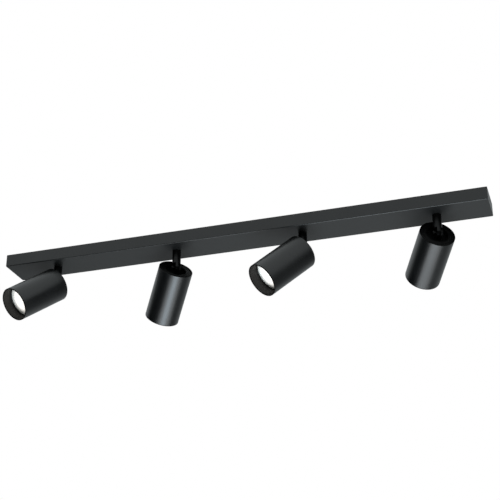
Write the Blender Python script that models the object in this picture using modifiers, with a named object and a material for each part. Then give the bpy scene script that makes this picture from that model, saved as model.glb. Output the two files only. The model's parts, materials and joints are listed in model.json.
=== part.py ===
"""Ceiling spotlight bar: a folded sheet-steel bar with four spot heads that turn and tilt.

Metres, +Z up. The origin is the middle of the face that lies against the ceiling, +X runs along
the bar, and everything hangs below z = 0. Each head is modelled in its own frame, with the tilt
hinge at the origin and the tube hanging straight down, and then tilted and turned into place.
"""

from math import cos, pi, radians, sin

import bmesh
import bpy
from mathutils import Matrix, Vector

MM = 0.001
GAP = 0.3 * MM  # running and seating gap between neighbouring pieces
REACH = 3 * MM  # how far a cutting tool runs past the surface it cuts

ROUND = 24  # sides of the tube, cap and ring
MID_ROUND = 20  # sides of the lamp, holder and grommet
SMALL_ROUND = 12  # sides of stems, screws and holes

# Bar
BAR_LENGTH = 800 * MM
BAR_WIDTH = 61 * MM
BAR_HEIGHT = 20.8 * MM
SHEET = 1.2 * MM
FOLD_RADIUS = 1.4 * MM

# Ceiling bracket inside the bar
BRACKET_WIDTH = 30 * MM
BRACKET_SHEET = 1.5 * MM
END_PLATE_HEIGHT = 15 * MM
COVER_SCREW_Z = -9 * MM
COVER_SCREW_RADIUS = 2 * MM
COVER_SCREW_LENGTH = 7 * MM
GROMMET_X = 30 * MM
GROMMET_HOLE_RADIUS = 8 * MM
GROMMET_BORE_RADIUS = 5 * MM
EARTH_X = 58 * MM
EARTH_HOLE_RADIUS = 2.3 * MM
EARTH_TAG_RADIUS = 4 * MM
EARTH_TAG_THICKNESS = 0.8 * MM
TERMINAL_X = -30 * MM
TERMINAL_LENGTH = 30 * MM
TERMINAL_HALF_WIDTH = 14 * MM
TERMINAL_DEPTH = 8 * MM
POLE_PITCH = 9 * MM
POLE_WELL_RADIUS = 2 * MM
LEAD_Z = -6.4 * MM
LEAD_RADIUS = 1.5 * MM
LEAD_BEND = 6 * MM
OUTER_LANE_Y = 18 * MM
INNER_LANE_Y = -14 * MM
SLOT_LENGTH = 16 * MM
SLOT_WIDTH = 5 * MM
SLOT_PLACES = ((-260, 0), (-160, 90), (160, 90), (260, 0))  # x in mm, turn in degrees

# Heads: number, pan from +X and tilt from straight down, in degrees
HEADS = ((1, -124.0, 53.0), (2, 129.0, 50.0), (3, -141.0, 48.5), (4, 117.5, 66.5))
HEAD_PITCH = 212 * MM
HINGE_Z = -50.5 * MM

# Stem
STEM_RADIUS = 6.9 * MM
STEM_SPIGOT_RADIUS = 5 * MM
STEM_SPIGOT_TOP = -10 * MM
STEM_CHAMFER = 0.4 * MM
STEM_BORE_RADIUS = 3 * MM
STEM_BORE_FLOOR = 12 * MM  # above the hinge
TONGUE_THICKNESS = 6 * MM
SHOULDER_ABOVE_HINGE = 7 * MM
FLAT_REACH = 9 * MM  # past the stem's radius each way

# What holds the stem in the cover, from the cover's floor up
BUSH_NECK_RADIUS = 6.6 * MM
BUSH_FLANGE_RADIUS = 12 * MM
BUSH_FLANGE_Z = -BAR_HEIGHT + SHEET + GAP
BUSH_TOP_Z = BUSH_FLANGE_Z + 1.4 * MM
WASHER_RADIUS = 8.6 * MM
WASHER_Z = BUSH_TOP_Z + GAP
WASHER_TOP_Z = WASHER_Z + 1.2 * MM
NUT_RADIUS = 8 * MM
NUT_Z = WASHER_TOP_Z + GAP
NUT_TOP_Z = NUT_Z + 4.2 * MM
STOP_RADIUS = 10.5 * MM  # the middle of the peg and of the tab's end
STOP_DEPTH = 0.9 * MM
STOP_WIDTH = 2 * MM

# Head, along its own axis from the hinge down
TUBE_RADIUS = 27.75 * MM
TUBE_WALL = 1.75 * MM
TUBE_LENGTH = 91 * MM
REAR_BELOW_HINGE = 2.5 * MM
CAP_SETBACK = 0.7 * MM
WELL_RADIUS = 17 * MM
WELL_FLOOR_Z = -9.5 * MM
CAP_FLOOR = 2.5 * MM
CAP_CHAMFER = 0.6 * MM
EAR_THICKNESS = 3 * MM
EAR_RADIUS = 6 * MM
WIRE_HOLE_RADIUS = 2.5 * MM
WIRE_HOLE_OFFSET = 11 * MM
WIRE_HOLE_TURN = pi / ROUND  # keeps the hole off the disc's own facets
PIVOT_SCREW_RADIUS = 1.5 * MM
LENS_SETBACK = 17.5 * MM
LAMP_RADIUS = 25 * MM
LAMP_LENGTH = 50 * MM
LENS_RADIUS = 23.4 * MM
LENS_THICKNESS = 1.9 * MM
RING_INNER_RADIUS = 24.7 * MM
RING_THICKNESS = 1.2 * MM
LAMP_NECK_RADIUS = 12.5 * MM
HOLDER_RADIUS = 14 * MM
PIN_SPREAD = 5 * MM
PIN_RADIUS = 2.4 * MM
PIN_LENGTH = 6.5 * MM
REAR_Z = -REAR_BELOW_HINGE
FRONT_Z = REAR_Z - TUBE_LENGTH
LENS_Z = FRONT_Z + LENS_SETBACK
CAP_UNDER_Z = WELL_FLOOR_Z - CAP_FLOOR
BORE = TUBE_RADIUS - TUBE_WALL

# sRGB hex colour, metallic, roughness
FINISHES = {
    "powder_coated_steel": ("#2A2C2D", 0.0, 0.5),
    "anodised_tube": ("#26292B", 0.6, 0.38),
    "black_stem": ("#0E0F10", 0.3, 0.35),
    "black_moulding": ("#0B0B0C", 0.0, 0.6),
    "zinc_steel": ("#A9ACAE", 1.0, 0.35),
    "brass": ("#B79A5A", 1.0, 0.3),
    "white_plastic": ("#E6E4DC", 0.0, 0.5),
    "nylon": ("#141414", 0.0, 0.5),
    "rubber": ("#161616", 0.0, 0.8),
    "sleeving": ("#8C2F22", 0.0, 0.6),
    "ceramic": ("#E9E2D2", 0.0, 0.55),
    "lamp_glass": ("#FFFFFF", 0.0, 0.2),
}


def clear_scene():
    for obj in list(bpy.data.objects):
        bpy.data.objects.remove(obj, do_unlink=True)


def make_collection(name):
    group = bpy.data.collections.new(name)
    bpy.context.scene.collection.children.link(group)
    return group


def linear(channel):
    return channel / 12.92 if channel <= 0.04045 else ((channel + 0.055) / 1.055) ** 2.4


def finish(name):
    """The named material, made once."""
    material = bpy.data.materials.get(name)
    if material:
        return material
    colour, metallic, roughness = FINISHES[name]
    rgb = [linear(int(colour[i : i + 2], 16) / 255) for i in (1, 3, 5)]
    material = bpy.data.materials.new(name)
    material.use_nodes = True
    shader = material.node_tree.nodes["Principled BSDF"]
    shader.inputs["Base Color"].default_value = (*rgb, 1)
    shader.inputs["Metallic"].default_value = metallic
    shader.inputs["Roughness"].default_value = roughness
    material.diffuse_color = (*rgb, 1)
    return material


def settle(obj, name, material=None, group=None):
    """Names an object, gives it a finish and moves it to a collection."""
    obj.name = name
    for old in list(obj.users_collection):
        old.objects.unlink(obj)
    (group or PARTS).objects.link(obj)
    if material:
        obj.data.materials.clear()
        obj.data.materials.append(finish(material))
    return obj


def apply_scale(obj):
    """Puts an object's scale into its mesh."""
    bpy.ops.object.select_all(action="DESELECT")
    obj.select_set(True)
    bpy.context.view_layer.objects.active = obj
    bpy.ops.object.transform_apply(location=False, rotation=False, scale=True)


def box(name, low, high, material=None, group=None):
    """A box between two corners."""
    low, high = Vector(low), Vector(high)
    bpy.ops.mesh.primitive_cube_add(size=1, location=(low + high) / 2)
    obj = bpy.context.object
    obj.scale = high - low
    settle(obj, name, material, group)
    apply_scale(obj)
    return obj


def rod(name, radius, start, end, material=None, group=None, sides=SMALL_ROUND):
    """A solid cylinder from one point to another."""
    start, end = Vector(start), Vector(end)
    along = end - start
    bpy.ops.mesh.primitive_cylinder_add(
        vertices=sides, radius=radius, depth=along.length, location=(start + end) / 2
    )
    obj = bpy.context.object
    obj.rotation_mode = "QUATERNION"
    obj.rotation_quaternion = along.to_track_quat("Z", "Y")
    obj.data.shade_smooth()
    obj.data.set_sharp_from_angle(angle=radians(35))
    return settle(obj, name, material, group)


def turned(name, profile, material=None, group=None, sides=ROUND):
    """A turned solid: (radius, z) points that run down the outer side and back up the inner one.

    The outline closes on itself, apart from a stretch that lies on the axis.
    """
    mesh = bpy.data.meshes.new(name)
    points = [(r, 0, z) for r, z in profile]
    pairs = zip(range(len(points)), [*range(1, len(points)), 0])
    edges = [(a, b) for a, b in pairs if points[a][0] or points[b][0]]
    mesh.from_pydata(points, edges, [])
    obj = bpy.data.objects.new(name, mesh)
    PARTS.objects.link(obj)
    screw = obj.modifiers.new("Turn", "SCREW")
    screw.steps = sides
    screw.render_steps = sides
    screw.use_merge_vertices = True
    screw.merge_threshold = 0.00001
    screw.use_smooth_shade = True
    return settle(obj, name, material, group)


def as_cutter(obj):
    obj.hide_render = True
    obj.display_type = "WIRE"
    settle(obj, obj.name, None, CUTTERS)
    return obj


def boolean(obj, tool, operation):
    as_cutter(tool)
    modifier = obj.modifiers.new(tool.name, "BOOLEAN")
    modifier.operation = operation
    modifier.solver = "EXACT"
    modifier.object = tool
    return obj


def cut(obj, tool):
    return boolean(obj, tool, "DIFFERENCE")


def join(obj, tool):
    return boolean(obj, tool, "UNION")


def arc(centre, radius, start, end, steps=8):
    """Points on an arc, with the angles in degrees."""
    angles = [radians(start + (end - start) * k / steps) for k in range(steps + 1)]
    return [(centre[0] + radius * cos(a), centre[1] + radius * sin(a)) for a in angles]


def plate(name, outline, thickness):
    """A flat outline, given anticlockwise, with a thickness centred on its plane."""
    curve = bpy.data.curves.new(name, "CURVE")
    curve.dimensions = "2D"
    curve.fill_mode = "BOTH"
    curve.extrude = thickness / 2
    spline = curve.splines.new("POLY")
    spline.points.add(len(outline) - 1)
    for point, (x, y) in zip(spline.points, outline):
        point.co = (x, y, 0, 1)
    spline.use_cyclic_u = True
    obj = bpy.data.objects.new(name, curve)
    PARTS.objects.link(obj)
    return curve_to_mesh(obj)


def curve_to_mesh(obj):
    """The same shape as a closed mesh object, in place of the curve."""
    bpy.context.view_layer.update()
    evaluated = obj.evaluated_get(bpy.context.evaluated_depsgraph_get())
    mesh = bpy.data.meshes.new_from_object(evaluated)
    work = bmesh.new()
    work.from_mesh(mesh)
    bmesh.ops.remove_doubles(work, verts=work.verts, dist=0.00001)
    bmesh.ops.recalc_face_normals(work, faces=work.faces)
    work.to_mesh(mesh)
    work.free()
    name = obj.name
    matrix = obj.matrix_world.copy()
    bpy.data.objects.remove(obj)
    solid = bpy.data.objects.new(name, mesh)
    PARTS.objects.link(solid)
    solid.matrix_world = matrix
    return solid


def head_x(number):
    return (number - 2.5) * HEAD_PITCH


# ---------------------------------------------------------------- bar


def make_bar_cover():
    """The folded sheet cover: five outside faces, open at the ceiling, holes for stems and screws."""
    half = Vector((BAR_LENGTH / 2, BAR_WIDTH / 2, BAR_HEIGHT))
    cover = box("bar_cover", (-half.x, -half.y, -half.z), (half.x, half.y, 0), "powder_coated_steel")
    work = bmesh.new()
    work.from_mesh(cover.data)
    top = [f for f in work.faces if f.normal.z > 0.9]
    bmesh.ops.delete(work, geom=top, context="FACES_ONLY")
    folds = [e for e in work.edges if len(e.link_faces) == 2]
    bmesh.ops.bevel(
        work, geom=folds, offset=FOLD_RADIUS, segments=2, profile=0.5, affect="EDGES", clamp_overlap=True
    )
    work.to_mesh(cover.data)
    work.free()
    shell = cover.modifiers.new("Sheet", "SOLIDIFY")
    shell.thickness = SHEET
    shell.offset = -1
    shell.use_even_offset = True
    for number, _, _ in HEADS:
        x = head_x(number)
        hole = rod(
            f"cut_cover_stem_{number}", BUSH_NECK_RADIUS + GAP,
            (x, 0, -BAR_HEIGHT - REACH), (x, 0, -BAR_HEIGHT + REACH)
        )
        cut(cover, hole)
    for side in (-1, 1):
        x = side * BAR_LENGTH / 2
        hole = rod(
            f"cut_cover_screw_{side}", COVER_SCREW_RADIUS + GAP,
            (x - REACH, 0, COVER_SCREW_Z), (x + REACH, 0, COVER_SCREW_Z)
        )
        cut(cover, hole)


def make_ceiling_bracket():
    """The strip that is screwed to the ceiling, and the upright plate welded to each of its ends."""
    end = BAR_LENGTH / 2 - SHEET - GAP
    strip_end = end - BRACKET_SHEET - GAP
    half = BRACKET_WIDTH / 2
    bracket = box("ceiling_bracket", (-strip_end, -half, -BRACKET_SHEET), (strip_end, half, 0), "zinc_steel")
    for side, name in ((-1, "left"), (1, "right")):
        low_x, high_x = sorted((side * (end - BRACKET_SHEET), side * end))
        tab = box(f"bracket_end_{name}", (low_x, -half, -END_PLATE_HEIGHT), (high_x, half, 0), "zinc_steel")
        hole = rod(
            f"cut_tab_{name}", COVER_SCREW_RADIUS + GAP,
            (side * end - REACH, 0, COVER_SCREW_Z), (side * end + REACH, 0, COVER_SCREW_Z)
        )
        cut(tab, hole)
    for x_mm, turn in SLOT_PLACES:
        run = (SLOT_LENGTH - SLOT_WIDTH) / 2
        outline = [*arc((run, 0), SLOT_WIDTH / 2, -90, 90), *arc((-run, 0), SLOT_WIDTH / 2, 90, 270)]
        slot = plate(f"cut_slot_{x_mm}", outline, 4 * BRACKET_SHEET)
        slot.location = (x_mm * MM, 0, 0)
        slot.rotation_euler = (0, 0, radians(turn))
        cut(bracket, slot)
    holes = (("cable", GROMMET_X, GROMMET_HOLE_RADIUS), ("earth", EARTH_X, EARTH_HOLE_RADIUS))
    for name, x, radius in holes:
        cut(bracket, rod(f"cut_{name}", radius, (x, 0, -2 * REACH), (x, 0, REACH), sides=MID_ROUND))


def make_cover_screws():
    """A slotted grub screw in each end, flush in the cover and held by the bracket's end plate."""
    chamfer = 0.3 * MM
    end_radius = COVER_SCREW_RADIUS - chamfer
    profile = (
        (0, 0), (end_radius, 0), (COVER_SCREW_RADIUS, -chamfer),
        (COVER_SCREW_RADIUS, chamfer - COVER_SCREW_LENGTH), (end_radius, -COVER_SCREW_LENGTH),
        (0, -COVER_SCREW_LENGTH),
    )
    for side, name in ((-1, "left"), (1, "right")):
        screw = turned(f"cover_screw_{name}", profile, "black_stem", sides=SMALL_ROUND)
        screw.rotation_euler = (0, side * pi / 2, 0)
        screw.location = (side * (BAR_LENGTH / 2 - GAP), 0, COVER_SCREW_Z)
        slot = box(f"cut_screw_{name}", (-REACH, -0.35 * MM, -0.9 * MM), (REACH, 0.35 * MM, REACH))
        slot.parent = screw
        cut(screw, slot)


def make_terminal_block():
    """A three-pole screw terminal hung under the bracket."""
    top = -BRACKET_SHEET - GAP
    x = TERMINAL_X
    half_length = TERMINAL_LENGTH / 2
    under = top - TERMINAL_DEPTH
    block = box(
        "terminal_block", (x - half_length, -TERMINAL_HALF_WIDTH, under),
        (x + half_length, TERMINAL_HALF_WIDTH, top), "white_plastic",
    )
    for pole in (-1, 0, 1):
        y = pole * POLE_PITCH
        tower = box(
            f"join_pole_{pole}", (x - 9 * MM, y - 3.4 * MM, under - 3 * MM),
            (x + 9 * MM, y + 3.4 * MM, under + MM),
        )
        join(block, tower)
        for side in (-1, 1):
            well_x = x + side * 5 * MM
            well = rod(
                f"cut_terminal_{pole}_{side}", POLE_WELL_RADIUS, (well_x, y, under - 2 * REACH),
                (well_x, y, under),
            )
            cut(block, well)


def make_earth_bond():
    """The earth screw in the bracket and the ring tag under its head."""
    tag_top = -BRACKET_SHEET - GAP
    tag_under = tag_top - EARTH_TAG_THICKNESS
    tag = turned(
        "earth_tag",
        ((EARTH_TAG_RADIUS, tag_top), (EARTH_TAG_RADIUS, tag_under), (EARTH_HOLE_RADIUS, tag_under),
         (EARTH_HOLE_RADIUS, tag_top)),
        "brass", sides=MID_ROUND,
    )
    tag.location = (EARTH_X, 0, 0)
    low, high = tag_under + 0.1 * MM, tag_top - 0.1 * MM
    barrel = box("join_tag_barrel", (3.4 * MM, -1.6 * MM, low), (14 * MM, 1.6 * MM, high))
    barrel.location += Vector((EARTH_X, 0, 0))
    join(tag, barrel)
    head_top = tag_under - GAP
    shank = EARTH_HOLE_RADIUS - GAP
    screw = turned(
        "earth_screw",
        ((0, -0.2 * MM), (shank, -0.4 * MM), (shank, head_top), (3.6 * MM, head_top),
         (3.4 * MM, head_top - 1.4 * MM), (2 * MM, head_top - 2.2 * MM), (0, head_top - 2.3 * MM)),
        "brass", sides=SMALL_ROUND,
    )
    screw.location = (EARTH_X, 0, 0)


def make_cable_grommet():
    """A rubber bush in the bracket's cable hole: two flanges and a neck, with a clear bore."""
    neck = GROMMET_HOLE_RADIUS - GAP
    flange_top = -BRACKET_SHEET - GAP
    grommet = turned(
        "cable_grommet",
        ((neck, -GAP), (neck, flange_top), (neck + 2 * MM, flange_top),
         (neck + 2 * MM, flange_top - 1.2 * MM), (neck, flange_top - 2.2 * MM),
         (GROMMET_BORE_RADIUS, flange_top - 2.2 * MM), (GROMMET_BORE_RADIUS, -GAP)),
        "rubber", sides=MID_ROUND,
    )
    grommet.location = (GROMMET_X, 0, 0)


def make_leads():
    """A sleeved lead from the terminal block to the bore of each stem, round the parts between."""
    for number, _, _ in HEADS:
        stem_x = head_x(number)
        side = 1 if stem_x > 0 else -1
        outer = number in (1, 4)
        start_x = TERMINAL_X + side * (TERMINAL_LENGTH / 2 + 2 * GAP)
        start_y = (6 if outer else -6) * MM
        lane_y = OUTER_LANE_Y if outer else INNER_LANE_Y
        route = [(start_x, start_y), (start_x + side * 6 * MM, start_y)]
        if number != 2:
            route += [(start_x + side * 35 * MM, lane_y), (stem_x - side * 45 * MM, lane_y)]
        route += [(stem_x - side * 14 * MM, 0), (stem_x - side * LEAD_BEND, 0)]
        points = [(x, y, LEAD_Z) for x, y in smooth_route(route)]
        for x, z in arc((0, 0), LEAD_BEND, 67.5, 0, 3):
            points.append((stem_x - side * (LEAD_BEND - x), 0, LEAD_Z - LEAD_BEND + z))
        points.append((stem_x, 0, LEAD_Z - LEAD_BEND - 2 * MM))
        curve = bpy.data.curves.new(f"lead_{number}", "CURVE")
        curve.dimensions = "3D"
        curve.bevel_depth = LEAD_RADIUS
        curve.bevel_resolution = 2
        curve.use_fill_caps = True
        spline = curve.splines.new("POLY")
        spline.points.add(len(points) - 1)
        for point, place in zip(spline.points, points):
            point.co = (*place, 1)
        lead = bpy.data.objects.new(f"lead_{number}", curve)
        PARTS.objects.link(lead)
        settle(lead, f"lead_{number}", "sleeving")


def smooth_route(route, steps=3):
    """Points on a Catmull-Rom curve through a flat route."""
    route = [Vector(p) for p in route]
    knots = [2 * route[0] - route[1], *route, 2 * route[-1] - route[-2]]
    points = []
    for a, b, c, d in zip(knots, knots[1:], knots[2:], knots[3:]):
        for step in range(steps):
            t = step / steps
            bend = (2 * a - 5 * b + 4 * c - d) * t**2 + (3 * b - a - 3 * c + d) * t**3
            points.append((2 * b + (c - a) * t + bend) / 2)
    return [*points, route[-1]]


# ---------------------------------------------------------------- swivels


def make_stem_bush(number):
    """A flanged bush in the cover's hole, with the peg that stops the stem's turn."""
    x = head_x(number)
    bore = STEM_SPIGOT_RADIUS + GAP
    bush = turned(
        f"stem_bush_{number}",
        ((BUSH_FLANGE_RADIUS, BUSH_TOP_Z), (BUSH_FLANGE_RADIUS, BUSH_FLANGE_Z),
         (BUSH_NECK_RADIUS, BUSH_FLANGE_Z), (BUSH_NECK_RADIUS, -BAR_HEIGHT), (bore, -BAR_HEIGHT),
         (bore, BUSH_TOP_Z)),
        "nylon", sides=SMALL_ROUND,
    )
    bush.location = (x, 0, 0)
    half = STOP_WIDTH / 2
    peg = box(f"join_peg_{number}", (x - half, STOP_RADIUS - 1.2 * MM, BUSH_TOP_Z - 0.7 * MM),
              (x + half, STOP_RADIUS + STOP_DEPTH, WASHER_TOP_Z + 0.5 * MM))
    join(bush, peg)


def make_swivel(number, pan):
    """The stem, its stop washer and its nut, all turned to the head's direction."""
    x = head_x(number)
    axis = bpy.data.objects.new(f"swivel_axis_{number}", None)
    PARTS.objects.link(axis)
    axis.location = (x, 0, HINGE_Z)
    axis.rotation_euler = (0, 0, radians(pan))
    up = -HINGE_Z
    seat = -BAR_HEIGHT - GAP + up
    profile = (
        (STEM_SPIGOT_RADIUS, STEM_SPIGOT_TOP + up), (STEM_SPIGOT_RADIUS, seat),
        (STEM_RADIUS - STEM_CHAMFER, seat), (STEM_RADIUS, seat - STEM_CHAMFER),
        *arc((0, 0), STEM_RADIUS, 0, -60, 2), (0, -STEM_RADIUS),
        (0, STEM_BORE_FLOOR), (STEM_BORE_RADIUS, STEM_BORE_FLOOR), (STEM_BORE_RADIUS, STEM_SPIGOT_TOP + up),
    )
    stem = turned(f"stem_{number}", profile, "black_stem", sides=SMALL_ROUND)
    stem.parent = axis
    for side in (-1, 1):
        low_y, high_y = sorted((side * TONGUE_THICKNESS / 2, side * FLAT_REACH))
        flat = box(
            f"cut_flat_{number}_{side}", (-FLAT_REACH, low_y, -FLAT_REACH),
            (FLAT_REACH, high_y, SHOULDER_ABOVE_HINGE),
        )
        flat.parent = axis
        cut(stem, flat)
    hole = rod(f"cut_tongue_{number}", PIVOT_SCREW_RADIUS + GAP, (0, -FLAT_REACH, 0), (0, FLAT_REACH, 0))
    hole.parent = axis
    cut(stem, hole)
    washer = turned(
        f"stop_washer_{number}",
        ((WASHER_RADIUS, WASHER_TOP_Z + up), (WASHER_RADIUS, WASHER_Z + up),
         (STEM_SPIGOT_RADIUS + GAP, WASHER_Z + up), (STEM_SPIGOT_RADIUS + GAP, WASHER_TOP_Z + up)),
        "zinc_steel", sides=SMALL_ROUND,
    )
    washer.parent = axis
    # The tab lies opposite the peg when the head faces -Y, so each way has the same swing.
    tab = box(f"join_stop_tab_{number}", (WASHER_RADIUS - MM, -STOP_WIDTH / 2, WASHER_Z + up + 0.1 * MM),
              (STOP_RADIUS + STOP_DEPTH, STOP_WIDTH / 2, WASHER_TOP_Z + up - 0.1 * MM))
    tab.parent = axis
    join(washer, tab)
    low, high = NUT_Z + up, NUT_TOP_Z + up
    nut = rod(f"stem_nut_{number}", NUT_RADIUS, (0, 0, low), (0, 0, high), "zinc_steel", sides=6)
    nut.parent = axis
    bore = rod(f"cut_nut_{number}", STEM_SPIGOT_RADIUS + GAP, (0, 0, low - REACH), (0, 0, high + REACH))
    bore.parent = axis
    cut(nut, bore)


# ---------------------------------------------------------------- heads


def make_head(number, pan, tilt):
    """The tube, rear cap, hinge screw, holder, lamp, lens and ring of one head."""
    axis = bpy.data.objects.new(f"tilt_axis_{number}", None)
    PARTS.objects.link(axis)
    axis.matrix_world = (
        Matrix.Translation((head_x(number), 0, HINGE_Z))
        @ Matrix.Rotation(radians(pan), 4, "Z")
        @ Matrix.Rotation(-radians(tilt), 4, "Y")
    )
    made = [
        *make_tube(number), *make_rear_cap(number), *make_pivot_screw(number),
        *make_lampholder(number), *make_lamp(number),
    ]
    for obj in made:
        obj.parent = axis


def make_tube(number):
    edge = 0.5 * MM
    tube = turned(
        f"head_tube_{number}",
        ((BORE, REAR_Z), (TUBE_RADIUS - edge, REAR_Z), (TUBE_RADIUS, REAR_Z - edge),
         (TUBE_RADIUS, FRONT_Z + edge), (TUBE_RADIUS - edge, FRONT_Z), (BORE, FRONT_Z)),
        "anodised_tube",
    )
    return [tube]


def make_rear_cap(number):
    """The recessed rear disc. Its well holds two ears that clasp the stem's tongue."""
    face = REAR_Z - CAP_SETBACK
    edge = BORE - GAP
    cap = turned(
        f"rear_cap_{number}",
        ((0, WELL_FLOOR_Z), (WELL_RADIUS, WELL_FLOOR_Z), (WELL_RADIUS, face - CAP_CHAMFER),
         (WELL_RADIUS + CAP_CHAMFER, face), (edge, face), (edge, CAP_UNDER_Z), (0, CAP_UNDER_Z)),
        "black_moulding",
    )
    made = [cap]
    foot = WELL_FLOOR_Z - MM
    outline = [(-EAR_RADIUS, foot), (EAR_RADIUS, foot), *arc((0, 0), EAR_RADIUS, 0, 180)]
    for side in (-1, 1):
        ear = plate(f"join_ear_{number}_{side}", outline, EAR_THICKNESS)
        ear.rotation_euler = (pi / 2, 0, 0)
        ear.location = (0, side * (TONGUE_THICKNESS / 2 + GAP + EAR_THICKNESS / 2), 0)
        join(cap, ear)
        made.append(ear)
    hole = rod(f"cut_ears_{number}", PIVOT_SCREW_RADIUS + GAP, (0, -12 * MM, 0), (0, 12 * MM, 0))
    cut(cap, hole)
    made.append(hole)
    x, y = -WIRE_HOLE_OFFSET * cos(WIRE_HOLE_TURN), WIRE_HOLE_OFFSET * sin(WIRE_HOLE_TURN)
    wire_hole = rod(
        f"cut_wire_{number}", WIRE_HOLE_RADIUS, (x, y, CAP_UNDER_Z - REACH), (x, y, WELL_FLOOR_Z + REACH)
    )
    cut(cap, wire_hole)
    made.append(wire_hole)
    return made


def make_pivot_screw(number):
    """The hinge screw, head on the +Y side, across ears and tongue."""
    ear_face = TONGUE_THICKNESS / 2 + GAP + EAR_THICKNESS
    screw = turned(
        f"pivot_screw_{number}",
        ((0, 2 * MM), (1.6 * MM, 1.9 * MM), (2.8 * MM, 1.2 * MM), (3 * MM, 0), (PIVOT_SCREW_RADIUS, 0),
         (PIVOT_SCREW_RADIUS, -2 * ear_face - GAP), (0, -2 * ear_face - 2 * GAP)),
        "black_stem", sides=SMALL_ROUND,
    )
    screw.location = (0, ear_face + GAP, 0)
    screw.rotation_euler = (-pi / 2, 0, 0)
    return [screw]


def make_lampholder(number):
    """The ceramic holder under the cap's floor, with two contact wells."""
    top = CAP_UNDER_Z - GAP
    bottom = LENS_Z + LAMP_LENGTH + GAP
    holder = turned(
        f"lampholder_{number}",
        ((0, top), (HOLDER_RADIUS - MM, top), (HOLDER_RADIUS, top - MM), (HOLDER_RADIUS, bottom),
         (0, bottom)),
        "ceramic", sides=MID_ROUND,
    )
    made = [holder]
    for side in (-1, 1):
        y = side * PIN_SPREAD
        low, high = bottom - REACH, bottom + PIN_LENGTH + 1.5 * MM
        well = rod(f"cut_holder_{number}_{side}", PIN_RADIUS + GAP, (0, y, low), (0, y, high))
        cut(holder, well)
        made.append(well)
    return made


def make_lamp(number):
    """The reflector lamp: a cup with two pins, the glass disc in its mouth and the ring in front."""
    neck_top = LENS_Z + LAMP_LENGTH
    lamp = turned(
        f"lamp_body_{number}",
        ((0, neck_top), (LAMP_NECK_RADIUS, neck_top), (LAMP_NECK_RADIUS + MM / 2, neck_top - 16 * MM),
         (LAMP_RADIUS, LENS_Z + 5 * MM), (LAMP_RADIUS, LENS_Z), (LENS_RADIUS + GAP, LENS_Z),
         (LENS_RADIUS + GAP, LENS_Z + 2.2 * MM), (22 * MM, LENS_Z + 2.2 * MM), (0, LENS_Z + 24 * MM)),
        "white_plastic", sides=MID_ROUND,
    )
    made = [lamp]
    for side in (-1, 1):
        y = side * PIN_SPREAD
        low, high = neck_top - MM, neck_top + PIN_LENGTH
        pin = rod(f"join_pin_{number}_{side}", PIN_RADIUS, (0, y, low), (0, y, high))
        join(lamp, pin)
        made.append(pin)
    lens = turned(
        f"lamp_lens_{number}",
        ((0, LENS_Z + LENS_THICKNESS), (LENS_RADIUS, LENS_Z + LENS_THICKNESS), (LENS_RADIUS, LENS_Z),
         (LENS_RADIUS - 1.2 * MM, LENS_Z - 0.3 * MM), (0, LENS_Z - 0.7 * MM)),
        "lamp_glass", sides=MID_ROUND,
    )
    made.append(lens)
    ring_back = LENS_Z - GAP
    ring = turned(
        f"lamp_ring_{number}",
        ((BORE - GAP, ring_back), (BORE - GAP, ring_back - RING_THICKNESS),
         (RING_INNER_RADIUS, ring_back - RING_THICKNESS), (RING_INNER_RADIUS, ring_back)),
        "black_moulding",
    )
    made.append(ring)
    return made


# ---------------------------------------------------------------- assembly

clear_scene()
PARTS = make_collection("ceiling_spotlight_bar")
CUTTERS = make_collection("cutters")

make_bar_cover()
make_ceiling_bracket()
make_cover_screws()
make_terminal_block()
make_earth_bond()
make_cable_grommet()
make_leads()
for head_number, head_pan, head_tilt in HEADS:
    make_stem_bush(head_number)
    make_swivel(head_number, head_pan)
    make_head(head_number, head_pan, head_tilt)
bpy.context.view_layer.update()
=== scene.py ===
import json
import math

import bpy
from mathutils import Matrix, Vector


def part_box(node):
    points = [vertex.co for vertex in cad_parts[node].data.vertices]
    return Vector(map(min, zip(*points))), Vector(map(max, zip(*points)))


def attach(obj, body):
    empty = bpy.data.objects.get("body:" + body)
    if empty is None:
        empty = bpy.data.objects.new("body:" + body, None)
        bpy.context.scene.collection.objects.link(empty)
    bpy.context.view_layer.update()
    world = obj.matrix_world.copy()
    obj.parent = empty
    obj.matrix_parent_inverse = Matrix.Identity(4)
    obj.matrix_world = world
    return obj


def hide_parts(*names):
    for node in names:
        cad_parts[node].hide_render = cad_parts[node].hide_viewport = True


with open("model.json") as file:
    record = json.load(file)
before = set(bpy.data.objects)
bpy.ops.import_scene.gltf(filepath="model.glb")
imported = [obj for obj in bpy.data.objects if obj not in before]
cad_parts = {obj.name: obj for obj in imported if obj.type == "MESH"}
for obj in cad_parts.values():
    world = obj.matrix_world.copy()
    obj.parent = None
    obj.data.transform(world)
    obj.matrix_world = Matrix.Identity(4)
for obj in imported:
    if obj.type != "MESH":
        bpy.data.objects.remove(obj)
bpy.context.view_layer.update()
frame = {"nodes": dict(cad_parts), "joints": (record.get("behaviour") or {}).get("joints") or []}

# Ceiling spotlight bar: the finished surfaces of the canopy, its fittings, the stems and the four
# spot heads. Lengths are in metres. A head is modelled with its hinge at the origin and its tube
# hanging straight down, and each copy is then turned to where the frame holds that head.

bpy.ops.object.select_all(action="DESELECT")

MM = 0.001
ROUND = 96  # sides of the tube, cap, ring and lens
MIDDLE_ROUND = 64  # sides of stems, hinge ears and lamp bodies
SMALL_ROUND = 48  # sides of screws, nuts, washers and lampholders
POINT = 0.001 * MM  # the radius of a ring that stands for a point on the axis


# ------------------------------------------------------------------ places, read from the frame


def joint_of(name):
    """The frame's entry for one joint."""
    return next(j for j in frame["joints"] if j["name"] == name)


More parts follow.
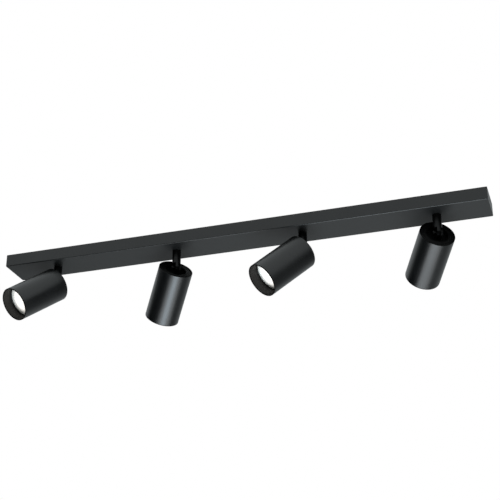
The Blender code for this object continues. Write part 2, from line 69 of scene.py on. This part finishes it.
def stem_matrix(number):
    """Where a stem modelled about its hinge goes: upright, turned to its head's direction."""
    joint = joint_of(f"tilt_{number}")
    pan = math.atan2(joint["axis"][0], -joint["axis"][1])
    return Matrix.Translation(joint["pos_m"]) @ Matrix.Rotation(pan, 4, "Z")


def head_matrix(number):
    """The same with the head's tilt, which is the middle of its joint's range turned back."""
    low, high = joint_of(f"tilt_{number}")["range_deg"]
    return stem_matrix(number) @ Matrix.Rotation(math.radians((low + high) / 2), 4, "Y")


def extent(node, matrix):
    """A CAD node's lowest and highest corner, seen in the frame of that matrix."""
    turn_back = matrix.inverted()
    points = [turn_back @ v.co for v in frame["nodes"][node].data.vertices]
    low = Vector(min(p[k] for p in points) for k in range(3))
    high = Vector(max(p[k] for p in points) for k in range(3))
    return low, high


HEADS = (1, 2, 3, 4)
BAR_LOW, BAR_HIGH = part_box("bar_cover")
SHEET = 1.2 * MM  # thickness of the canopy's sheet
FOLD = 1.4 * MM  # outside radius of its folds
SEAM = 0.2 * MM  # width of the open seam at each of its corners
COVER_SCREW_HOLE = 2.3 * MM  # radius
COVER_SCREW_Z = -9 * MM
STEM_HOLE = 6.9 * MM  # radius, in the canopy
TUBE_LOW, TUBE_HIGH = extent("head_tube_1", head_matrix(1))
TUBE_RADIUS = TUBE_HIGH.x
TUBE_WALL = 1.75 * MM
BORE = TUBE_RADIUS - TUBE_WALL  # radius of the tube's inside
REAR_Z = TUBE_HIGH.z
FRONT_Z = TUBE_LOW.z
# The cut end's black runs this far up the outside and the bore beside the mouth: painted shade that
# widens the dark line round the mouth.
LIP_Z = FRONT_Z + 1.1 * MM  # how far up the tube the finish of its cut end goes
WELL_RADIUS = 17 * MM  # the well in the rear cap
WELL_FLOOR = -9.5 * MM
HINGE_HOLE = 1.7 * MM  # radius, in the ears and the tongue
PIN_OFFSET = 5 * MM  # from the lamp's axis to each of its two pins
NUT_BORE = 5.3 * MM  # radius, in the nut and the washer
CAP_LOW, CAP_HIGH = extent("rear_cap_1", head_matrix(1))
LENS_LOW, LENS_HIGH = extent("lamp_lens_1", head_matrix(1))
LENS_RADIUS = LENS_HIGH.x
STEM_LOW, STEM_HIGH = extent("stem_1", stem_matrix(1))
STEM_RADIUS = STEM_HIGH.x


# ------------------------------------------------------------------ modelling


def edit_all():
    """Goes into edit mode with everything selected."""
    bpy.ops.object.mode_set(mode="EDIT")
    bpy.ops.mesh.select_all(action="SELECT")


def only(piece):
    """Makes one piece the whole selection and the active object."""
    bpy.ops.object.select_all(action="DESELECT")
    piece.select_set(True)
    bpy.context.view_layer.objects.active = piece
    return piece


def turned(name, profile, sides=ROUND):
    """A turned piece: a ring drawn out along a profile of (radius, z) points, top outer edge first.

    Where the profile starts or ends on the axis it closes there; otherwise its last ring meets
    its first.
    """
    bpy.ops.object.select_all(action="DESELECT")
    rings = [(max(radius, POINT), z) for radius, z in profile]
    if profile[0][0] > 0:
        rings.append(rings[0])
    radius, z = rings[0]
    bpy.ops.mesh.primitive_circle_add(vertices=sides, radius=radius, location=(0, 0, z))
    piece = bpy.context.object
    piece.name = name
    bpy.ops.object.transform_apply()
    edit_all()
    for wider, lower in rings[1:]:
        bpy.ops.mesh.extrude_region_move(TRANSFORM_OT_translate={"value": (0, 0, lower - z)})
        grow = wider / radius
        bpy.ops.transform.resize(value=(grow, grow, 1), center_override=(0, 0, lower))
        radius, z = wider, lower
    bpy.ops.mesh.select_all(action="SELECT")
    bpy.ops.mesh.remove_doubles(threshold=4 * POINT)
    bpy.ops.mesh.normals_make_consistent(inside=False)
    bpy.ops.object.mode_set(mode="OBJECT")
    return piece


def block(name, low, high):
    """A box between two corners, with its place in its mesh."""
    bpy.ops.object.select_all(action="DESELECT")
    low, high = Vector(low), Vector(high)
    bpy.ops.mesh.primitive_cube_add(size=1, location=(low + high) / 2, scale=high - low)
    piece = bpy.context.object
    piece.name = name
    bpy.ops.object.transform_apply()
    return piece


def rod(name, radius, start, end, sides=SMALL_ROUND):
    """A plain cylinder between two points, for cutting and joining."""
    bpy.ops.object.select_all(action="DESELECT")
    start, end = Vector(start), Vector(end)
    along = end - start
    bpy.ops.mesh.primitive_cylinder_add(
        vertices=sides, radius=radius, depth=along.length, location=(start + end) / 2,
        rotation=along.to_track_quat("Z", "Y").to_euler(),
    )
    piece = bpy.context.object
    piece.name = name
    bpy.ops.object.transform_apply()
    return piece


def apply_modifier(piece, kind, **settings):
    """Adds one modifier to a piece and applies it."""
    modifier = piece.modifiers.new(kind.title(), kind)
    for key, value in settings.items():
        setattr(modifier, key, value)
    only(piece)
    bpy.ops.object.modifier_apply(modifier=modifier.name)
    return piece


def combine(piece, tool, operation):
    """Cuts a tool out of a piece, or joins it on, and removes the tool."""
    apply_modifier(piece, "BOOLEAN", object=tool, operation=operation, solver="EXACT")
    bpy.data.objects.remove(tool)
    return piece


def round_edges(piece, width, segments=3, angle=30):
    """Breaks every edge sharper than the angle, which leaves no knife edge to catch the light."""
    return apply_modifier(
        piece, "BEVEL", width=width, segments=segments, limit_method="ANGLE",
        angle_limit=math.radians(angle), use_clamp_overlap=True, harden_normals=False,
    )


def put(piece, matrix, body, nodes, slot, *materials):
    """Puts a finished piece in its place, on its body, in its finish, for the nodes it replaces."""
    piece.data.transform(matrix)
    only(piece)
    bpy.ops.object.shade_smooth_by_angle(angle=math.radians(32))
    apply_modifier(piece, "WEIGHTED_NORMAL", mode="FACE_AREA", weight=100, keep_sharp=True)
    for material in materials:
        piece.data.materials.append(material)
    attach(piece, body)
    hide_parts(*nodes)
    return piece


def copy_of(piece, name):
    """A copy with a mesh of its own."""
    twin = piece.copy()
    twin.data = piece.data.copy()
    twin.name = name
    bpy.context.scene.collection.objects.link(twin)
    return twin


# ------------------------------------------------------------------ materials


def linear(hex_colour):
    """An sRGB hex colour as the linear values that the shaders take."""
    channels = [int(hex_colour[k : k + 2], 16) / 255 for k in (1, 3, 5)]
    return [c / 12.92 if c <= 0.04045 else ((c + 0.055) / 1.055) ** 2.4 for c in channels] + [1]


def add(tree, kind, inputs=None, **settings):
    """Adds one node: its settings, and its inputs as plain values or as another node's output."""
    made = tree.nodes.new("ShaderNode" + kind)
    for key, value in settings.items():
        setattr(made, key, value)
    for key, value in (inputs or {}).items():
        if isinstance(value, bpy.types.NodeSocket):
            tree.links.new(value, made.inputs[key])
        else:
            made.inputs[key].default_value = value
    return made


def new_material(name):
    """A material with an empty node tree, and that tree."""
    material = bpy.data.materials.new(name)
    material.use_nodes = True
    material.node_tree.nodes.clear()
    return material, material.node_tree


def coated(name, dark, light, roughness, grain, bump, patch=45 * MM, metallic=0.0, specular=0.5):
    """A finish with a fine grain in its height and a slow drift in its colour and gloss.

    grain is the grain's size and patch the size of the drift. roughness is (smoothest, roughest).
    """
    material, tree = new_material(name)
    place = add(tree, "TexCoord").outputs["Object"]
    drift = add(tree, "TexNoise", {"Vector": place, "Scale": 1 / patch, "Detail": 3, "Roughness": 0.55})
    fine = add(tree, "TexNoise", {"Vector": place, "Scale": 1 / grain, "Detail": 2, "Roughness": 0.5})
    colour = add(tree, "Mix", {
        0: drift.outputs["Fac"], 6: linear(dark), 7: linear(light),
    }, data_type="RGBA")
    gloss = add(tree, "MapRange", {
        "Value": drift.outputs["Fac"], "From Min": 0.3, "From Max": 0.7,
        "To Min": roughness[0], "To Max": roughness[1],
    })
    height = add(tree, "Bump", {"Height": fine.outputs["Fac"], "Strength": bump, "Distance": 0.05 * MM})
    shader = add(tree, "BsdfPrincipled", {
        "Base Color": colour.outputs[2], "Roughness": gloss.outputs["Result"], "Metallic": metallic,
        "Specular IOR Level": specular, "Normal": height.outputs["Normal"],
    })
    add(tree, "OutputMaterial", {"Surface": shader.outputs["BSDF"]})
    return material


def make_materials():
    """Every finish of the light, by name. Their grains are drawn coarse enough to show."""
    made = {
        # Polyester powder coat on folded steel: satin, with a faint orange peel.
        "powder": coated(
            "satin_black_powder_coat", "#0D0E0E", "#131414", (0.38, 0.46), 1.6 * MM, 0.2,
        ),
        # Lacquered aluminium tube: smoother and a little glossier than the powder coat.
        "tube": coated("satin_black_lacquer", "#060707", "#0A0B0C", (0.30, 0.36), 1.2 * MM, 0.1),
        # The same lacquer inside the bore, duller, with a brownish tint that paints the lamp's warm
        # light into its colour.
        "bore": coated(
            "black_lacquer_painted_lamp_warmth", "#0B0906", "#110E0A", (0.46, 0.58), 1.0 * MM, 0.2, specular=0.36,
        ),
        # The tube's cut ends, black, with the black carried a little way up beside each mouth: the thin
        # dark line round each mouth, partly the ends' own black and partly painted shade.
        "rim": coated(
            "black_cut_end_and_painted_shade_line", "#020202", "#040404", (0.5, 0.6), 0.6 * MM, 0.1, specular=0.12,
        ),
        # Black oxide on turned steel: very dark, with a tight, narrow highlight.
        "oxide": coated(
            "black_oxide_steel", "#040404", "#080808", (0.26, 0.36), 0.8 * MM, 0.1, specular=0.22,
        ),
        # The oxide on the stem's tongue, darker and duller: painted shade of the well that the tongue
        # turns in.
        "painted_shade_oxide": coated(
            "black_oxide_painted_well_shade", "#010101", "#030303", (0.4, 0.5), 0.8 * MM, 0.15, specular=0.05,
        ),
        # Moulded black nylon, matt and very dark.
        "moulding": coated(
            "moulded_black_nylon", "#020202", "#050505", (0.4, 0.55), 0.9 * MM, 0.3, specular=0.16,
        ),
        # Bright zinc plate on steel: a pale grey metal with a cloudy gloss.
        "zinc": coated(
            "bright_zinc_plate", "#9DA1A3", "#BFC2C3", (0.25, 0.42), 2.5 * MM, 0.15, metallic=1.0,
        ),
        # Plain brass: a warm yellow metal with a soft shine.
        "brass": coated(
            "plain_brass", "#A98A4C", "#C2A566", (0.25, 0.4), 1.5 * MM, 0.1, metallic=1.0,
        ),
        # Moulded white polycarbonate: a creamy satin.
        "white": coated(
            "white_polycarbonate", "#DDDBD3", "#ECEAE3", (0.35, 0.45), 1.5 * MM, 0.15,
        ),
        # Moulded nylon of the bushes: black with a low sheen.
        "nylon": coated("black_nylon", "#080808", "#0E0E0E", (0.4, 0.5), 1.2 * MM, 0.2),
        # Moulded rubber: matt and dark grey.
        "rubber": coated("black_rubber", "#0D0D0D", "#171716", (0.6, 0.75), 1.0 * MM, 0.4),
        # Extruded silicone sleeving: brick red and nearly matt.
        "sleeving": coated("silicone_sleeving", "#7A2A1E", "#93382A", (0.45, 0.6), 1.0 * MM, 0.3),
        # Pressed and fired steatite: cream, matt and faintly pitted.
        "ceramic": coated("steatite_ceramic", "#DDD5C4", "#EAE4D6", (0.45, 0.6), 0.7 * MM, 0.4),
    }
    made["opal"] = opal_diffuser()
    return made


def opal_diffuser():
    """The lit opal lens: even white in the middle, with a glow that falls away towards its edge."""
    even_to, dark_from = 14.5 * MM, 22.8 * MM
    brightest, dimmest = 0.88, 0.06
    frost_grain = 1.2 * MM
    material, tree = new_material("opal_diffuser")
    radius = add(tree, "Attribute", attribute_name="from_axis").outputs["Fac"]
    frost = add(tree, "TexNoise", {
        "Vector": add(tree, "TexCoord").outputs["Object"], "Scale": 1 / frost_grain, "Detail": 2,
    })
    glow = add(tree, "MapRange", {
        "Value": radius, "From Min": even_to, "From Max": dark_from,
        "To Min": brightest, "To Max": dimmest,
    }, interpolation_type="SMOOTHSTEP")
    height = add(tree, "Bump", {"Height": frost.outputs["Fac"], "Strength": 0.2, "Distance": 0.05 * MM})
    shader = add(tree, "BsdfPrincipled", {
        "Base Color": linear("#E8E6E2"), "Roughness": 0.4, "Normal": height.outputs["Normal"],
        "Emission Color": linear("#FFFAF2"), "Emission Strength": glow.outputs["Result"],
    })
    add(tree, "OutputMaterial", {"Surface": shader.outputs["BSDF"]})
    return material


# ------------------------------------------------------------------ canopy and its fittings


def folded_sheet():
    """A box without its top, its edges rounded as folds and its walls given the sheet's thickness."""
    canopy = block("canopy", BAR_LOW, BAR_HIGH)
    bpy.ops.object.mode_set(mode="EDIT")
    bpy.ops.mesh.select_all(action="DESELECT")
    bpy.ops.mesh.select_mode(type="FACE")
    bpy.ops.object.mode_set(mode="OBJECT")
    for face in canopy.data.polygons:
        face.select = face.normal.z > 0.9
    bpy.ops.object.mode_set(mode="EDIT")
    bpy.ops.mesh.delete(type="ONLY_FACE")
    bpy.ops.mesh.select_mode(type="EDGE")
    bpy.ops.mesh.select_all(action="DESELECT")
    bpy.ops.object.mode_set(mode="OBJECT")
    top = BAR_HIGH.z - POINT
    for edge in canopy.data.edges:
        ends = [canopy.data.vertices[k].co.z for k in edge.vertices]
        edge.select = min(ends) < top
    bpy.ops.object.mode_set(mode="EDIT")
    bpy.ops.mesh.bevel(offset=FOLD, segments=6, profile=0.5, affect="EDGES")
    bpy.ops.object.mode_set(mode="OBJECT")
    return apply_modifier(canopy, "SOLIDIFY", thickness=SHEET, offset=-1, use_even_offset=True)


def cut_stem_holes(canopy):
    """A round hole in the canopy's floor for each stem."""
    below, above = BAR_LOW.z - 2 * MM, BAR_LOW.z + 3 * MM
    for number in HEADS:
        x = joint_of(f"pan_{number}")["pos_m"][0]
        hole = rod("stem_hole", STEM_HOLE, (x, 0, below), (x, 0, above), MIDDLE_ROUND)
        combine(canopy, hole, "DIFFERENCE")


def cut_end(canopy, side):
    """One end's screw hole, and the seam at each of its corners, which ends above the fold."""
    x = side * BAR_HIGH.x
    reach = 3 * MM
    hole = rod(
        "screw_hole", COVER_SCREW_HOLE, (x - reach, 0, COVER_SCREW_Z), (x + reach, 0, COVER_SCREW_Z),
    )
    combine(canopy, hole, "DIFFERENCE")
    for edge in (-1, 1):
        seam = block(
            "seam", (-SEAM / 2, -4 * MM, BAR_LOW.z + 3 * MM), (SEAM / 2, 4 * MM, BAR_HIGH.z + 2 * MM),
        )
        turn = Matrix.Rotation(math.radians(45 * side * edge), 4, "Z")
        corner = Matrix.Translation((x, edge * BAR_HIGH.y, 0))
        seam.data.transform(corner @ turn.inverted())
        combine(canopy, seam, "DIFFERENCE")


def make_canopy(materials):
    """The folded sheet canopy: open at the ceiling, with hairline seams where its ends fold up."""
    canopy = folded_sheet()
    cut_stem_holes(canopy)
    for side in (-1, 1):
        cut_end(canopy, side)
    round_edges(canopy, 0.12 * MM, 2, 50)
    put(
        canopy, Matrix.Identity(4), "bar", ["bar_cover"], "black_powder_coat", materials["powder"],
    )


# ------------------------------------------------------------------ heads


def head_tube():
    """A plain tube with eased rims. Its cut ends and a narrow band beside the mouth take finish 2,
    partly their own black and partly painted shade; its bore finish 1, the rest 0.
    """
    tube = turned("tube", (
        (TUBE_RADIUS, REAR_Z), (TUBE_RADIUS, LIP_Z), (TUBE_RADIUS, FRONT_Z), (BORE, FRONT_Z),
        (BORE, LIP_Z), (BORE, REAR_Z),
    ))
    round_edges(tube, 0.45 * MM, 3)
    for face in tube.data.polygons:
        outward = face.normal.x * face.center.x + face.normal.y * face.center.y
        # Faces below LIP_Z take the cut end's black: partly its own colour, partly a painted shade line
        # round the mouth.
        if face.center.z < LIP_Z or face.normal.z > 0.4:
            face.material_index = 2
        elif outward < -0.9 * BORE:
            face.material_index = 1
    return tube


def ring_groove(inner, outer, face, depth):
    """The profile of one turned groove with sloping sides, from its inner edge to its outer."""
    slope = 0.2 * MM
    floor = face - depth
    return (inner, face), (inner + slope, floor), (outer - slope, floor), (outer, face)


def hinge_ear(side):
    """One of the two ears that the tongue turns between: a round top on a foot, with a hole."""
    near, far = 3.3 * MM, 6.3 * MM
    radius = 6 * MM
    low_y, high_y = sorted((side * near, side * far))
    ear = rod("ear", radius, (0, low_y, 0), (0, high_y, 0), MIDDLE_ROUND)
    foot = block("foot", (-radius, low_y, WELL_FLOOR - 0.5 * MM), (radius, high_y, 0))
    combine(ear, foot, "UNION")
    hole = rod("ear_hole", HINGE_HOLE, (0, low_y - MM, 0), (0, high_y + MM, 0))
    combine(ear, hole, "DIFFERENCE")
    return round_edges(ear, 0.3 * MM, 3, 40)


def rear_cap():
    """The recessed rear disc: two fine ring grooves, a well in the middle and two ears in the well."""
    face = REAR_Z - 0.7 * MM
    edge = CAP_HIGH.x
    cap = turned("cap", (
        (0, WELL_FLOOR), (WELL_RADIUS, WELL_FLOOR), (WELL_RADIUS, face),
        *ring_groove(20.2 * MM, 21.1 * MM, face, 0.4 * MM),
        *ring_groove(24 * MM, 25 * MM, face, 0.5 * MM),
        (edge, face), (edge, CAP_LOW.z), (0, CAP_LOW.z),
    ))
    round_edges(cap, 0.25 * MM, 2)
    for side in (-1, 1):
        combine(cap, hinge_ear(side), "UNION")
    turn = math.pi / 24  # half a side of the CAD cap's 24, so the hole is in line with the CAD one
    from_axis, radius = 11 * MM, 2.5 * MM
    x, y = -from_axis * math.cos(turn), from_axis * math.sin(turn)
    combine(cap, rod("wire_hole", radius, (x, y, -14 * MM), (x, y, -8 * MM)), "DIFFERENCE")
    return cap


def pivot_screw():
    """The hinge screw, with a slotted cheese head that stands beside one ear."""
    under_head = 6.6 * MM  # from the stem's axis
    length, shank, head, head_height = 12.9 * MM, 1.5 * MM, 3 * MM, 1.9 * MM
    screw = turned("screw", (
        (0, head_height), (2.4 * MM, head_height), (head, 1.5 * MM), (head, 0), (shank, 0),
        (shank, -length), (0, -length),
    ), SMALL_ROUND)
    slot = block("slot", (-4 * MM, -0.4 * MM, 1.1 * MM), (4 * MM, 0.4 * MM, 3 * MM))
    combine(screw, slot, "DIFFERENCE")
    round_edges(screw, 0.12 * MM, 2, 40)
    across = Matrix.Rotation(-math.pi / 2, 4, "X")
    screw.data.transform(Matrix.Translation((0, under_head, 0)) @ across)
    return screw


def lamp_lens():
    """The lamp's front: a shallow dome inside a frosted rim."""
    back, front = LENS_HIGH.z, LENS_LOW.z
    edge = LENS_RADIUS
    lens = turned("lens", (
        (0, back), (edge, back), (edge, front + 0.9 * MM), (edge - 0.4 * MM, front + 0.6 * MM),
        (edge - 1.6 * MM, front + 0.45 * MM), (edge - 1.9 * MM, front + 0.7 * MM),
        (edge - 2.2 * MM, front + 0.4 * MM), (17 * MM, front + 0.25 * MM), (11 * MM, front + 0.1 * MM),
        (5 * MM, front + 0.02 * MM), (0, front),
    ))
    distance = lens.data.attributes.new("from_axis", "FLOAT", "POINT")
    for vertex, value in zip(lens.data.vertices, distance.data):
        value.value = math.hypot(vertex.co.x, vertex.co.y)
    return lens


def lamp_ring():
    """The sprung ring that holds the lamp: a thin black lip round the lens."""
    low, high = extent("lamp_ring_1", head_matrix(1))
    inner = 24.7 * MM  # radius
    ring = turned("ring", ((high.x, high.z), (high.x, low.z), (inner, low.z), (inner, high.z)))
    return round_edges(ring, 0.3 * MM, 4)


def lamp_body():
    """The reflector lamp's housing: a cup that narrows to a neck with two pins."""
    low, high = extent("lamp_body_1", head_matrix(1))
    neck = LENS_HIGH.z + 48.1 * MM
    mouth = LENS_RADIUS + 0.3 * MM
    body = turned("lamp", (
        (0, neck), (12.5 * MM, neck), (13 * MM, neck - 16 * MM), (17 * MM, neck - 22 * MM),
        (22 * MM, low.z + 12 * MM), (25 * MM, low.z + 5 * MM), (25 * MM, low.z), (mouth, low.z),
        (mouth, low.z + 2.2 * MM), (21.5 * MM, low.z + 2.2 * MM), (16 * MM, low.z + 11 * MM),
        (8 * MM, low.z + 20 * MM), (0, low.z + 24 * MM),
    ), MIDDLE_ROUND)
    for side in (-1, 1):
        y = side * PIN_OFFSET
        combine(body, rod("pin", 2.4 * MM, (0, y, neck - MM), (0, y, high.z)), "UNION")
    return round_edges(body, 0.2 * MM, 2, 50)


def lampholder():
    """The ceramic lampholder: a puck with a groove round it and a well for each of the lamp's pins."""
    low, high = extent("lampholder_1", head_matrix(1))
    holder = turned("holder", (
        (0, high.z), (13 * MM, high.z), (14 * MM, high.z - MM), (14 * MM, high.z - 6 * MM),
        (13.2 * MM, high.z - 6.5 * MM), (13.2 * MM, high.z - 8.5 * MM), (14 * MM, high.z - 9 * MM),
        (14 * MM, low.z), (0, low.z),
    ), SMALL_ROUND)
    for side in (-1, 1):
        y = side * PIN_OFFSET
        well = rod("well", 2.8 * MM, (0, y, low.z - MM), (0, y, low.z + 8 * MM))
        combine(holder, well, "DIFFERENCE")
    return round_edges(holder, 0.3 * MM, 2, 40)


def stem():
    """The turned stem: a bored spigot for the nut, a plain shank and a tongue with two flats.

    The tongue takes finish 1, a darker oxide that paints the shade of the well onto it, and the rest
    finish 0.
    """
    seat = BAR_LOW.z - 0.3 * MM - joint_of("tilt_1")["pos_m"][2]
    spigot, bore, bore_end = 5 * MM, 3 * MM, 12 * MM
    tongue_half, tongue_top, clear = 3 * MM, 7 * MM, 9 * MM
    radius = STEM_RADIUS
    steps = 12
    turns = [math.pi / 2 * k / steps for k in range(steps)]
    dome = [(radius * math.cos(turn), -radius * math.sin(turn)) for turn in turns]
    body = turned("stem", (
        (0, bore_end), (bore, bore_end), (bore, STEM_HIGH.z), (spigot, STEM_HIGH.z), (spigot, seat),
        (radius, seat), *dome, (0, -radius),
    ), MIDDLE_ROUND)
    for side in (-1, 1):
        low_y, high_y = sorted((side * tongue_half, side * clear))
        flat = block("flat", (-clear, low_y, -clear), (clear, high_y, tongue_top))
        combine(body, flat, "DIFFERENCE")
    combine(body, rod("hole", HINGE_HOLE, (0, -clear, 0), (0, clear, 0)), "DIFFERENCE")
    round_edges(body, 0.3 * MM, 3, 40)
    # Faces of the tongue take the darker oxide: painted shade of the well.
    for face in body.data.polygons:
        face.material_index = 1 if face.center.z < tongue_top - 0.1 * MM else 0
    return body


def stop_washer():
    """A washer with a tab that meets the bush's peg."""
    low, high = extent("stop_washer_1", stem_matrix(1))
    radius = 8.6 * MM
    washer = turned("washer", (
        (radius, high.z), (radius, low.z), (NUT_BORE, low.z), (NUT_BORE, high.z),
    ), SMALL_ROUND)
    tab = block("tab", (7.6 * MM, -MM, low.z + 0.1 * MM), (high.x, MM, high.z - 0.1 * MM))
    combine(washer, tab, "UNION")
    return round_edges(washer, 0.12 * MM, 2, 40)


def stem_nut():
    """A hexagon nut with chamfered corners."""
    low, high = extent("stem_nut_1", stem_matrix(1))
    above, below = high.z + MM, low.z - MM
    inner, outer, chamfer = 5.6 * MM, 8.4 * MM, 0.7 * MM
    nut = rod("nut", 8 * MM, (0, 0, low.z), (0, 0, high.z), 6)
    corners = turned("corners", (
        (0, above), (inner, above), (outer, high.z - chamfer), (outer, low.z + chamfer),
        (inner, below), (0, below),
    ), SMALL_ROUND)
    combine(nut, corners, "INTERSECT")
    combine(nut, rod("bore", NUT_BORE, (0, 0, below), (0, 0, above)), "DIFFERENCE")
    return round_edges(nut, 0.12 * MM, 2, 40)


def make_heads(materials):
    """Each piece of a head is modelled once and copied to the four heads."""
    on_head = (
        (head_tube, "head_tube", "satin_black_tube", ("tube", "bore", "rim")),
        (rear_cap, "rear_cap", "black_moulding", ("moulding",)),
        (pivot_screw, "pivot_screw", "black_steel", ("oxide",)),
        (lamp_lens, "lamp_lens", "opal_lens", ("opal",)),
        (lamp_ring, "lamp_ring", "black_moulding", ("tube",)),
        (lamp_body, "lamp_body", "lamp_housing", ("white",)),
        (lampholder, "lampholder", "ceramic", ("ceramic",)),
    )
    on_swivel = (
        (stem, "stem", "black_steel", ("oxide", "painted_shade_oxide")),
        (stop_washer, "stop_washer", "zinc_steel", ("zinc",)),
        (stem_nut, "stem_nut", "zinc_steel", ("zinc",)),
    )
    groups = (on_head, head_matrix, "head"), (on_swivel, stem_matrix, "swivel")
    for pieces, matrix_of, body in groups:
        for make, node, slot, finishes in pieces:
            master = make()
            for number in HEADS:
                piece = copy_of(master, f"finished_{node}_{number}")
                put(
                    piece, matrix_of(number), f"{body}_{number}", [f"{node}_{number}"], slot,
                    *(materials[finish] for finish in finishes),
                )
            bpy.data.objects.remove(master)


# ------------------------------------------------------------------ kept CAD nodes


def dress_kept_nodes(materials):
    """Fittings inside the canopy whose CAD shape is already right take a finish of their own."""
    finishes = {
        "ceiling_bracket": "zinc", "bracket_end_left": "zinc", "bracket_end_right": "zinc",
        "cover_screw_left": "oxide", "cover_screw_right": "oxide", "terminal_block": "white",
        "earth_screw": "brass", "earth_tag": "brass", "cable_grommet": "rubber",
    }
    for number in HEADS:
        finishes[f"lead_{number}"] = "sleeving"
        finishes[f"stem_bush_{number}"] = "nylon"
    for node, finish in finishes.items():
        piece = frame["nodes"][node]
        piece.data.materials.clear()
        piece.data.materials.append(materials[finish])


# ------------------------------------------------------------------ camera, light and floor


AIM = Vector((0.0451, -0.0820, -0.0773))
CAMERA_DISTANCE = 1.80
CAMERA_AZIMUTH = 17.73  # degrees round from straight in front, towards +X
CAMERA_ELEVATION = -25.28  # degrees: it looks up from below
LENS_MM = 85.8
SENSOR_MM = 36


def make_camera():
    """The camera in front, a little to the right and below, looking up at the bar."""
    azimuth, elevation = math.radians(CAMERA_AZIMUTH), math.radians(CAMERA_ELEVATION)
    level = math.cos(elevation)
    back = Vector((math.sin(azimuth) * level, -math.cos(azimuth) * level, math.sin(elevation)))
    data = bpy.data.cameras.new("camera")
    data.lens = LENS_MM
    data.sensor_width = SENSOR_MM
    camera = bpy.data.objects.new("camera", data)
    bpy.context.scene.collection.objects.link(camera)
    camera.location = AIM + back * CAMERA_DISTANCE
    camera.rotation_euler = (-back).to_track_quat("-Z", "Y").to_euler()
    bpy.context.scene.camera = camera


def make_area_light(name, place, aim, size, power, colour):
    """A rectangular soft box at a place, turned to face a point; its power is in watts."""
    data = bpy.data.lights.new(name, "AREA")
    data.shape = "RECTANGLE"
    data.size, data.size_y = size
    data.energy = power
    data.color = linear(colour)[:3]
    light = bpy.data.objects.new(name, data)
    bpy.context.scene.collection.objects.link(light)
    light.location = place
    light.rotation_euler = (Vector(place) - Vector(aim)).to_track_quat("Z", "Y").to_euler()


def make_surroundings():
    """White all round where it is seen. As a light it is bright above and uneven below.

    Below the horizon it is brightest a little right of the middle and at the back, dim at the
    right and dark at the left. Above it the front is brighter than the back.
    """
    dark, dim, bright = 0.0, 0.22, 0.5
    high_front, high_back = 1.05, 0.6
    world = bpy.data.worlds.new("white_studio")
    bpy.context.scene.world = world
    world.use_nodes = True
    tree = world.node_tree
    tree.nodes.clear()
    way = add(tree, "SeparateXYZ", {"Vector": add(tree, "TexCoord").outputs["Generated"]})
    left = add(tree, "MapRange", {
        "Value": way.outputs["X"], "From Min": -0.6, "From Max": 0.15, "To Min": dark, "To Max": bright,
    })
    right = add(tree, "MapRange", {
        "Value": way.outputs["X"], "From Min": 0.15, "From Max": 0.6, "To Min": bright, "To Max": dim,
    })
    back = add(tree, "MapRange", {
        "Value": way.outputs["Y"], "From Min": 0.6, "From Max": 0.88, "To Min": dark, "To Max": bright,
    })
    sides = add(tree, "Math", {
        0: left.outputs["Result"], 1: right.outputs["Result"],
    }, operation="MINIMUM")
    low = add(tree, "Math", {
        0: sides.outputs["Value"], 1: back.outputs["Result"],
    }, operation="MAXIMUM")
    high = add(tree, "MapRange", {
        "Value": way.outputs["Y"], "From Min": 0.2, "From Max": 0.8,
        "To Min": high_front, "To Max": high_back,
    })
    strength = add(tree, "MapRange", {
        "Value": way.outputs["Z"], "From Min": -0.05, "From Max": 0.35,
        "To Min": low.outputs["Value"], "To Max": high.outputs["Result"],
    }, interpolation_type="SMOOTHSTEP")
    lights = add(tree, "Background", {
        "Color": linear("#F3FAFC"), "Strength": strength.outputs["Result"],
    })
    seen = add(tree, "Background", {"Color": linear("#FFFFFF"), "Strength": 1.0})
    which = add(tree, "MixShader", {
        0: add(tree, "LightPath").outputs["Is Camera Ray"],
        1: lights.outputs["Background"], 2: seen.outputs["Background"],
    })
    add(tree, "OutputWorld", {"Surface": which.outputs["Shader"]})


def make_floor():
    """A pale round floor well below the bar, out of the camera's view."""
    bpy.ops.object.select_all(action="DESELECT")
    bpy.ops.mesh.primitive_circle_add(
        vertices=ROUND, radius=1.0, fill_type="NGON", location=(0.2, 0, -1.5),
    )
    floor = bpy.context.object
    floor.name = "studio_floor"
    material, tree = new_material("pale_floor")
    shader = add(tree, "BsdfPrincipled", {"Base Color": linear("#E9E8E6"), "Roughness": 0.8})
    add(tree, "OutputMaterial", {"Surface": shader.outputs["BSDF"]})
    floor.data.materials.append(material)


def make_lights():
    """Two soft boxes below the bar: a bluish one towards the front and a wide one under it all."""
    middle = (0.0, 0.0, -0.05)
    make_area_light(
        "low_softbox", (0.12, -0.30, -1.35), middle, size=(0.62, 0.7), power=7.5, colour="#DCF1FF",
    )
    make_area_light(
        "wide_softbox", (0.0, -0.05, -1.40), middle, size=(1.4, 1.4), power=19, colour="#F6FBFF",
    )


finishes = make_materials()
make_canopy(finishes)
make_heads(finishes)
dress_kept_nodes(finishes)
make_camera()
make_surroundings()
make_floor()
make_lights()
bpy.context.scene.view_settings.view_transform = "Standard"
